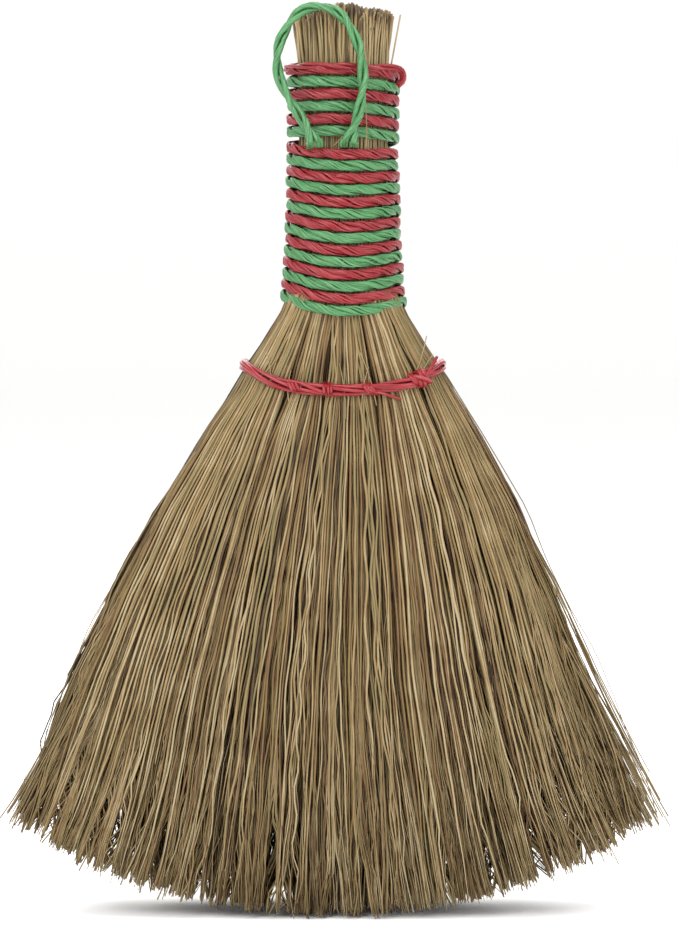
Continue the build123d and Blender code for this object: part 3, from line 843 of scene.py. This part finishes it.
def row_height(row):
    """Height of a row of the winding where it crosses the front, counted from the top row, 0."""
    if row >= UPPER_ROWS:
        return BOTTOM_ROW_HEIGHT + (UPPER_ROWS + LOWER_ROWS - 1 - row) * LOWER_STEP
    first_lower = BOTTOM_ROW_HEIGHT + (LOWER_ROWS - 1) * LOWER_STEP
    return first_lower + LOOP_ROW_STEP + (UPPER_ROWS - 1 - row) * UPPER_STEP


def side_lift(row):
    """How much higher a row lies at the two sides than at the front."""
    if row < UPPER_ROWS:
        return UPPER_SIDE_LIFT
    return FIRST_SIDE_LIFT + (row - UPPER_ROWS) / (LOWER_ROWS - 1) * (LAST_SIDE_LIFT - FIRST_SIDE_LIFT)


def round_the_grip(turned, heights, reach):
    """Points at angles round the handle, at those heights and that far off the bound bundle."""
    half = grip_half_width(heights)
    across, through = half + reach, half * DEPTH_TO_WIDTH + reach
    return np.stack([across * np.cos(turned), through * np.sin(turned), heights], axis=1)


def winding_line(rng, first_row):
    """The middle of one wound cord, from the back of its top row to the back of its bottom row, in mm."""
    rows = UPPER_ROWS + LOWER_ROWS
    heights = [row_height(first_row) + UPPER_STEP]
    for row in range(first_row, rows, 2):
        side = row_height(row) + side_lift(row)
        heights += [side + FRONT_FALL / 2, row_height(row), side - FRONT_FALL / 2]
        if row + 2 < rows:
            heights.append((row_height(row) + row_height(row + 2)) / 2)
    heights.append(row_height(row) - LOWER_STEP)
    z = smooth_through(heights, PER_QUARTER)
    turned = pi / 2 * (np.arange(len(z)) / PER_QUARTER + 1)
    turns = len(heights) / 4
    z += drift(rng, len(z), 2.3 * turns, 0.14)
    return round_the_grip(turned, z, CORD_CLEARANCE + CORD_RADIUS + drift(rng, len(z), 3.1 * turns, 0.08))


def laid_strands(rng, line, width, lay, strands=7, outward=None):
    """Strands of a laid cord along a line: plies wound round each other, each of a few crumpled strands.
    Gives the strands' paths, radii and, for each point, the way that its flat side faces."""
    line, run = resampled(line, CORD_STEP)
    towards = (0, 0, 1) if outward is None else outward(line)[None]
    across, upward = (side[0] for side in frames_along(line[None], towards))
    turn = 2 * pi * run / lay + drift(rng, len(run), run[-1] / 60, 0.35)
    half = width / 2
    paths, radii, facing = [], [], []
    for ply in range(PLIES):
        ply_turn = turn + 2 * pi * ply / PLIES
        # A ply that lies in front spreads flat, so the cord keeps its thickness
        front = np.cos(ply_turn) ** 2
        for strand in range(strands):
            own = turn * 1.3 + 2 * pi * strand / strands + rng.uniform(0, 0.5)
            own += drift(rng, len(run), run[-1] / 25, 0.3)
            loose = 1.02 + drift(rng, len(run), run[-1] / 12, 0.16)
            # The strands of a ply lie in an oval round its middle
            through = PLY_OFFSET * np.cos(ply_turn) + 0.30 * (1 - 0.25 * front) * loose * np.cos(own)
            over = PLY_OFFSET * np.sin(ply_turn) + (0.33 + 0.30 * front) * loose * np.sin(own)
            paths.append(line + across * (half * through)[:, None] + upward * (half * over)[:, None])
            radii.append(half * STRAND_RADIUS * (1 + drift(rng, len(run), run[-1] / 9, 0.18)))
            facing.append(across * np.cos(own)[:, None] + upward * np.sin(own)[:, None])
    return np.array(paths), np.array(radii), np.array(facing)


def from_the_axis(points):
    """Directions straight out from the handle's axis."""
    out = points * np.array([1, 1, 0])
    return out / np.linalg.norm(out, axis=1, keepdims=True)


class BROOM_OT_windings(bpy.types.Operator):
    """A red and a green raffia cord side by side round the handle, the red one doubled over at the top"""

    bl_idname = "broom.windings"
    bl_label = "Wound Cords"

    def execute(self, context):
        sizes, colours = context.scene.broom_sizes, context.scene.broom_colours
        width, lay = sizes.cord_width / MM, sizes.cord_lay / MM
        for first_row, name in enumerate(("red", "green")):
            rng = np.random.default_rng(WINDING_SEED + first_row)
            material = raffia_called(name, colours)
            line = winding_line(rng, first_row)
            paths, radii, facing = laid_strands(rng, line, width * 1.08, lay, outward=from_the_axis)
            tones = rng.random(len(paths))
            mesh = strand_mesh(f"{name}_wound_cord", paths, radii, 5, tones, facing, STRAND_FLATNESS)
            piece(mesh, BROOM, material, f"{name}_raffia", f"{name}_binding")
        # The red cord's end runs back over the top row, then folds down at the right
        rng = np.random.default_rng(DOUBLED_END_SEED)
        turned = np.radians(np.linspace(150, 320, 18))
        over = round_the_grip(turned, 319.9 + 0.3 * np.cos(turned * 3), 3.2)
        fold = np.array([(20.6, -11.6, 319.2), (22.4, -9.6, 317.4), (22.4, -8.6, 314.9), (20.6, -8.0, 312.8)])
        line = smooth_through(np.concatenate([over, fold]), 8)
        paths, radii, facing = laid_strands(rng, line, 3.4, 30.0, strands=5)
        tones = rng.random(len(paths))
        mesh = strand_mesh("red_cord_doubled_end", paths, radii, 6, tones, facing, STRAND_FLATNESS)
        piece(mesh, BROOM, raffia_called("red", colours), "red_raffia")
        return {"FINISHED"}


def spline_points(route):
    """Points in mm along the smooth NURBS line that a route's points control."""
    curve = bpy.data.curves.new("route", "CURVE")
    curve.dimensions = "3D"
    spline = curve.splines.new("NURBS")
    spline.points.add(len(route) - 1)
    for point, place in zip(spline.points, route):
        point.co = (*(value * MM for value in place), 1)
    spline.order_u = 3
    spline.use_endpoint_u = True
    spline.resolution_u = 12
    carrier = bpy.data.objects.new("route", curve)
    mesh = bpy.data.meshes.new_from_object(carrier)
    points = np.array([vertex.co for vertex in mesh.vertices], float) / MM
    bpy.data.objects.remove(carrier)
    bpy.data.curves.remove(curve)
    bpy.data.meshes.remove(mesh)
    return points


class BROOM_OT_loop(bpy.types.Operator):
    """The hanging loop of laid green raffia, which tips forward at its roots, and its tails in the bundle"""

    bl_idname = "broom.loop"
    bl_label = "Hanging Loop"

    def execute(self, context):
        sizes, colours = context.scene.broom_sizes, context.scene.broom_colours
        green = raffia_called("green", colours)
        rng = np.random.default_rng(LOOP_SEED)
        width = sizes.loop_width / MM
        line = spline_points(LOOP_ROUTE)
        paths, radii, facing = laid_strands(rng, line, width * 1.45, 27.0, strands=9)
        # Both ends splay flat over the stalks, where they go in between two rows of the winding
        middle = paths.mean(axis=0)
        t = np.linspace(0, 1, len(middle))
        splay = np.interp(t, (0, 0.11, 0.89, 1), (1.5, 1, 1, 1.5))
        paths[..., 0] = middle[:, 0] + (paths[..., 0] - middle[:, 0]) * splay
        paths[..., 1] = middle[:, 1] + (paths[..., 1] - middle[:, 1]) / splay
        ends = {"left": paths[:, 0], "right": paths[:, -1]}
        tones = rng.random(len(paths))
        mesh = strand_mesh("hanging_loop_cord", paths, radii, 5, tones, facing, STRAND_FLATNESS)
        loop = piece(mesh, LOOP, green, "green_raffia", "hanging_loop")
        for side, starts in ends.items():
            middle = starts.mean(axis=0)
            roots = []
            for start in starts:
                # Over the gap between two rows, then in behind the lower one
                x, deep = start[0] + (start[0] - middle[0]) * 0.3, (start[1] - middle[1]) * 0.3
                route = [start + (0, 0, 0.2), *((x, deep - behind, z) for behind, z in ROOT_ROUTE)]
                roots.append(smooth_through(route, 5))
            radii = width * 0.14 * np.ones((len(roots), 1)) * np.linspace(1, 0.7, len(roots[0]))
            tones = rng.random(len(roots))
            mesh = strand_mesh(f"loop_{side}_root", roots, radii, 5, tones, (0, -1, 0), STRAND_FLATNESS)
            piece(mesh, BROOM, green, "green_raffia", f"loop_tail_{side}")
        return {"FINISHED"}


def band_height(x):
    """Height of the sewn band at a distance across the fan."""
    return BAND_HEIGHT + BAND_RISE * np.abs(np.asarray(x) / BAND_HALF_WIDTH) ** 3


def band_line(turned):
    """Points on the middle of the sewn band, at angles round the fan."""
    across, through = np.cos(turned), np.sin(turned)
    x = BAND_HALF_WIDTH * across
    y = BAND_HALF_DEPTH * np.sign(through) * np.sqrt(np.abs(through))
    return np.stack([x, y, band_height(x)], axis=1)


class BROOM_OT_band(bpy.types.Operator):
    """The sewn band of red twine round the fan, its stitches through the partings, knot and loose ends"""

    bl_idname = "broom.band"
    bl_label = "Sewn Band"

    def execute(self, context):
        sizes, colours = context.scene.broom_sizes, context.scene.broom_colours
        red = raffia_called("red", colours)
        thick = sizes.twine_width / MM / 2
        rng = np.random.default_rng(BAND_SEED)

        turned = np.linspace(radians(-38), radians(-396), 720)
        line, run = resampled(band_line(turned), 0.9)
        across, upward = frames_along(line[None], (0, 0, 1))
        paths, radii = [], []
        for strand in range(BAND_STRANDS):
            swing = drift(rng, len(run), 5, 0.6) + 2 * pi * strand / BAND_STRANDS + 2 * pi * run / BAND_LAY
            reach = 1.0 + drift(rng, len(run), 9, 0.22)
            offset = across[0] * (BAND_HALF_THICKNESS * reach * np.cos(swing))[:, None]
            offset += upward[0] * (BAND_HALF_SPREAD * reach * np.sin(swing))[:, None]
            paths.append(line + offset)
            radii.append(thick * (1 + drift(rng, len(run), 24, 0.12)))
        tones = rng.random(BAND_STRANDS)
        mesh = strand_mesh("sewn_band_twine", np.array(paths), np.array(radii), 6, tones, (0, 0, 1))
        piece(mesh, BROOM, red, "red_raffia", "sewn_band")

        for number, (x, lean) in enumerate(STITCHES, 1):
            middle = band_height(x)
            reach = BAND_HALF_DEPTH * (1 - (x / BAND_HALF_WIDTH) ** 2) ** 0.25
            paths = []
            t = np.linspace(0, 2 * pi, 73)[:-1]
            for strand in range(STITCH_STRANDS):
                shift = (strand - 1) * STITCH_SPACING + rng.normal(0, 0.12)
                y = np.sign(np.cos(t)) * np.abs(np.cos(t)) ** 0.45 * (reach + STITCH_REACH)
                up = np.sin(t) * (STITCH_HALF_HEIGHT + 0.25 * np.cos(4 * t))
                # It leans one way on the front and the other way on the back
                face = np.where(np.cos(t) < 0, 1, -1)
                sway = shift + lean * -np.sin(t) / 2 * face * np.abs(np.cos(t)) ** 0.5
                slope = 0.42 * x / 25.6
                paths.append(np.stack([x + sway - slope * up, y, middle + up], axis=1))
            paths = np.array(paths)
            radii = np.full(paths.shape[:2], thick * 0.95)
            mesh = strand_mesh(f"stitch_{number}_twine", paths, radii, 6, rng.random(3), (1, 0, 0))
            piece(mesh, BROOM, red, "red_raffia", f"stitch_{number}")

        # The knot is a coil of about two and a half turns, with one strand across it
        angle = -np.arccos(KNOT_PLACE / BAND_HALF_WIDTH)
        near = band_line(np.array([angle - 0.02, angle, angle + 0.02]))
        along = Vector(near[2] - near[0]).normalized()
        outward = Vector((0.45, -1, 0)).normalized()
        side = along.cross(outward).normalized()
        middle = near[1] + np.array(outward) * 0.4
        t = np.linspace(0, 1, KNOT_POINTS)
        turns = 2 * pi * KNOT_TURNS * t
        wide = KNOT_RADIUS + 0.35 * np.sin(pi * t)
        coil = middle + np.outer((t - 0.5) * KNOT_LENGTH, along) + np.outer(wide * np.cos(turns), outward)
        coil += np.outer(wide * np.sin(turns), side)
        s = np.linspace(-1, 1, KNOT_POINTS)
        cross = middle + np.outer(s * 2.6, along) + np.outer(3.6 - 2.6 * s**2, outward)
        cross += np.outer(s * 2.2 + 0.4, side)
        radii = np.full((2, KNOT_POINTS), thick * 1.15)
        mesh = strand_mesh("band_knot_twine", np.array([coil, cross]), radii, 7, rng.random(2), (0, 0, 1))
        piece(mesh, BROOM, red, "red_raffia", "band_knot")

        t = np.linspace(0, 1, 24)
        ends = []
        for drop, reach, lift in LOOSE_ENDS:
            x = LOOSE_START + (reach - LOOSE_START) * t
            y = -BAND_HALF_DEPTH * (1 - (x / BAND_HALF_WIDTH) ** 2) ** 0.25 + 0.3 - 1.6 * (1 - t) - lift
            z = band_height(x) - 1.2 - drop * t**1.4
            ends.append(np.stack([x, y, z], axis=1))
        radii = np.linspace(1, 0.6, 24)[None, :] * np.full((2, 1), thick * 0.85)
        mesh = strand_mesh("band_loose_ends", np.array(ends), radii, 6, rng.random(2), (0, 0, 1))
        piece(mesh, BROOM, red, "red_raffia", "band_loose_end")

        ends = np.array([smooth_through([*SPLAY_ROOT, tip], 8) for tip in SPLAY_TIPS])
        radii = np.full(ends.shape[:2], thick * 0.85)
        mesh = strand_mesh("band_splayed_ends", ends, radii, 6, rng.random(len(ends)), (0, 0, 1))
        piece(mesh, BROOM, red, "red_raffia")
        return {"FINISHED"}


class BROOM_OT_studio(bpy.types.Operator):
    """A pale paper sweep, soft lights and a camera at the height of the broom's middle"""

    bl_idname = "broom.studio"
    bl_label = "Studio"

    def execute(self, context):
        paper = material_called("seamless_background_paper", background_paper, context.scene.broom_colours)
        reach, bend, steps = 5.0, 1.5, 24
        profile = [(-reach, 0.0), (reach, 0.0)]
        for i in range(1, steps + 1):
            angle = pi / 2 * i / steps
            profile.append((reach + bend * sin(angle), bend - bend * cos(angle)))
        profile.append((reach + bend, reach))
        points = [(x, y, z) for x in (-reach, reach) for y, z in profile]
        count = len(profile)
        faces = [(i, i + count, i + count + 1, i + 1) for i in range(count - 1)]
        mesh = bpy.data.meshes.new("paper_sweep")
        mesh.from_pydata(points, [], faces)
        mesh.shade_smooth()
        mesh.materials.append(paper)
        sweep = bpy.data.objects.new("paper_sweep", mesh)
        context.scene.collection.objects.link(sweep)

        lights = (
            ("key_light", (-0.9, -1.5, 1.3), 1.1, 24.0),
            ("fill_light", (1.2, -1.4, 0.7), 1.2, 12.0),
            ("top_light", (0.0, -0.1, 1.8), 1.2, 11.0),
            ("back_light", (0.0, 1.3, 1.2), 1.4, 14.0),
        )
        for name, place, size, power in lights:
            light = bpy.data.lights.new(name, "AREA")
            light.size, light.energy = size, power
            lamp = bpy.data.objects.new(name, light)
            lamp.location = place
            lamp.rotation_euler = (Vector((0, 0, 0.17)) - Vector(place)).to_track_quat("-Z", "Y").to_euler()
            context.scene.collection.objects.link(lamp)
        world = bpy.data.worlds.new("soft_daylight")
        world.use_nodes = True
        sky = world.node_tree.nodes["Background"]
        sky.inputs["Color"].default_value = (1, 1, 1, 1)
        sky.inputs["Strength"].default_value = 1.0
        context.scene.world = world
        context.scene.view_settings.view_transform = "Standard"

        camera = bpy.data.objects.new("camera", bpy.data.cameras.new("camera"))
        context.scene.collection.objects.link(camera)
        aim, distance, rise = Vector((-0.0013, -0.015, 0.1709)), 1.6, radians(3.2)
        camera.location = aim + distance * Vector((0, -cos(rise), sin(rise)))
        camera.rotation_euler = (aim - camera.location).to_track_quat("-Z", "Y").to_euler()
        # The picture's long side, 928 pixels, takes in 349 mm at the broom
        sensor, seen = 36.0, 0.349
        camera.data.sensor_width = sensor
        camera.data.lens = sensor * distance / seen
        context.scene.camera = camera
        return {"FINISHED"}


class BROOM_PT_panel(bpy.types.Panel):
    """Lists the broom's pieces, sizes and colours"""

    bl_idname = "BROOM_PT_panel"
    bl_label = "Whisk Broom"
    bl_space_type = "VIEW_3D"
    bl_region_type = "UI"
    bl_category = "Whisk Broom"

    def draw(self, context):
        for operator in OPERATORS:
            self.layout.operator(operator.bl_idname)
        for group in (context.scene.broom_sizes, context.scene.broom_colours):
            for name in group.bl_rna.properties.keys():
                if name not in ("name", "rna_type"):
                    self.layout.prop(group, name)


OPERATORS = (
    BROOM_OT_studio,
    BROOM_OT_loop,
    BROOM_OT_windings,
    BROOM_OT_stalks,
    BROOM_OT_fibres,
    BROOM_OT_band,
    BROOM_OT_wisps,
)
CLASSES = (BroomSizes, BroomColours, *OPERATORS, BROOM_PT_panel)


def register():
    for cls in CLASSES:
        bpy.utils.register_class(cls)
    bpy.types.Scene.broom_sizes = bpy.props.PointerProperty(type=BroomSizes)
    bpy.types.Scene.broom_colours = bpy.props.PointerProperty(type=BroomColours)


def unregister():
    del bpy.types.Scene.broom_colours
    del bpy.types.Scene.broom_sizes
    for cls in reversed(CLASSES):
        bpy.utils.unregister_class(cls)


def main():
    register()
    bpy.ops.broom.studio()
    bpy.ops.broom.loop()
    bpy.ops.broom.windings()
    bpy.ops.broom.stalks()
    bpy.ops.broom.fibres()
    bpy.ops.broom.band()
    bpy.ops.broom.wisps()


if __name__ == "__main__":
    main()
